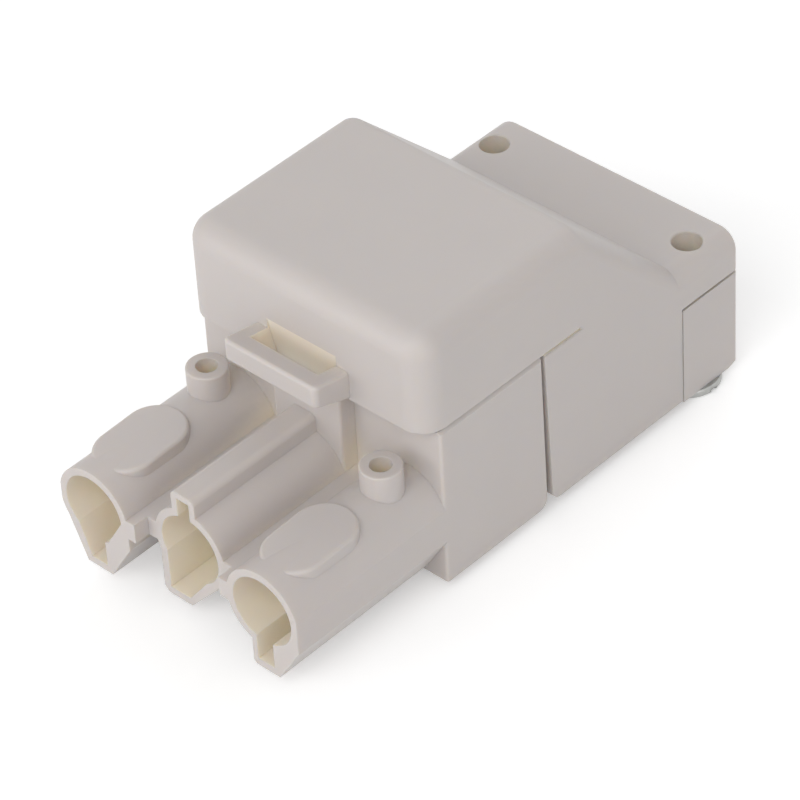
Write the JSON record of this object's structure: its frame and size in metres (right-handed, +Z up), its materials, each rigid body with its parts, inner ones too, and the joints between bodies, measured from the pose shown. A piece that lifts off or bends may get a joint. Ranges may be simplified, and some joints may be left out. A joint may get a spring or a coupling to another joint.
{
  "type": "lighting cable connector",
  "caption": "Pale plug-half lighting connector with keyed mating tubes, screw terminals under a raised hood, a latch loop and a screwed cable clamp.",
  "frame": {"origin": "under the middle of the whole connector, on the surface that it lies on", "axes": "+Y from the mating tubes to the cable end, +X across the poles, +Z up through the hood"},
  "size_m": [0.029, 0.057, 0.0278],
  "materials": {
    "housing_plastic": "fine matt moulded polyamide, ivory white",
    "screw_steel": "bright zinc-plated steel",
    "contact_brass": "bright turned brass"
  },
  "bodies": {
    "housing": {"contact_carrier": "housing_plastic", "upper_housing": "housing_plastic", "bottom_cover": "housing_plastic", "contact_pin_left": "contact_brass", "contact_pin_earth": "contact_brass", "contact_pin_right": "contact_brass", "terminal_cage_left": "contact_brass", "terminal_cage_earth": "contact_brass", "terminal_cage_right": "contact_brass"},
    "clamp_jaw": {"clamp_jaw": "housing_plastic"},
    "clamp_screw_left": {"clamp_screw_left": "screw_steel"},
    "clamp_screw_right": {"clamp_screw_right": "screw_steel"},
    "pressure_plate_left": {"pressure_plate_left": "screw_steel"},
    "terminal_screw_left": {"terminal_screw_left": "screw_steel"},
    "pressure_plate_earth": {"pressure_plate_earth": "screw_steel"},
    "terminal_screw_earth": {"terminal_screw_earth": "screw_steel"},
    "pressure_plate_right": {"pressure_plate_right": "screw_steel"},
    "terminal_screw_right": {"terminal_screw_right": "screw_steel"}
  },
  "joints": [
    {"name": "clamp_slide", "type": "slide", "parent": "housing", "child": "clamp_jaw", "axis": [0, 0, -1], "range_m": [0, 0.0022]},
    {"name": "clamp_screw_left_turn", "type": "hinge", "parent": "clamp_jaw", "child": "clamp_screw_left", "pos_m": [-0.01138, 0.0246, 0], "axis": [0, 0, -1], "range_deg": [0, 720]},
    {"name": "clamp_screw_right_turn", "type": "hinge", "parent": "clamp_jaw", "child": "clamp_screw_right", "pos_m": [0.01138, 0.0246, 0], "axis": [0, 0, -1], "range_deg": [0, 720]},
    {"name": "plate_slide_left", "type": "slide", "parent": "housing", "child": "pressure_plate_left", "axis": [0, 0, -1], "range_m": [0, 0.0024]},
    {"name": "terminal_screw_left_turn", "type": "hinge", "parent": "pressure_plate_left", "child": "terminal_screw_left", "pos_m": [-0.01, -0.0023, 0.01], "axis": [0, 0, -1], "range_deg": [0, 1728]},
    {"name": "plate_slide_earth", "type": "slide", "parent": "housing", "child": "pressure_plate_earth", "axis": [0, 0, -1], "range_m": [0, 0.0024]},
    {"name": "terminal_screw_earth_turn", "type": "hinge", "parent": "pressure_plate_earth", "child": "terminal_screw_earth", "pos_m": [0, -0.0023, 0.01], "axis": [0, 0, -1], "range_deg": [0, 1728]},
    {"name": "plate_slide_right", "type": "slide", "parent": "housing", "child": "pressure_plate_right", "axis": [0, 0, -1], "range_m": [0, 0.0024]},
    {"name": "terminal_screw_right_turn", "type": "hinge", "parent": "pressure_plate_right", "child": "terminal_screw_right", "pos_m": [0.01, -0.0023, 0.01], "axis": [0, 0, -1], "range_deg": [0, 1728]}
  ],
  "couplings": [
    {"joint": "clamp_screw_left_turn", "follows": "clamp_slide", "rad_per_m": 5712},
    {"joint": "clamp_screw_right_turn", "follows": "clamp_slide", "rad_per_m": 5712},
    {"joint": "terminal_screw_left_turn", "follows": "plate_slide_left", "rad_per_m": 12566},
    {"joint": "terminal_screw_earth_turn", "follows": "plate_slide_earth", "rad_per_m": 12566},
    {"joint": "terminal_screw_right_turn", "follows": "plate_slide_right", "rad_per_m": 12566}
  ]
}
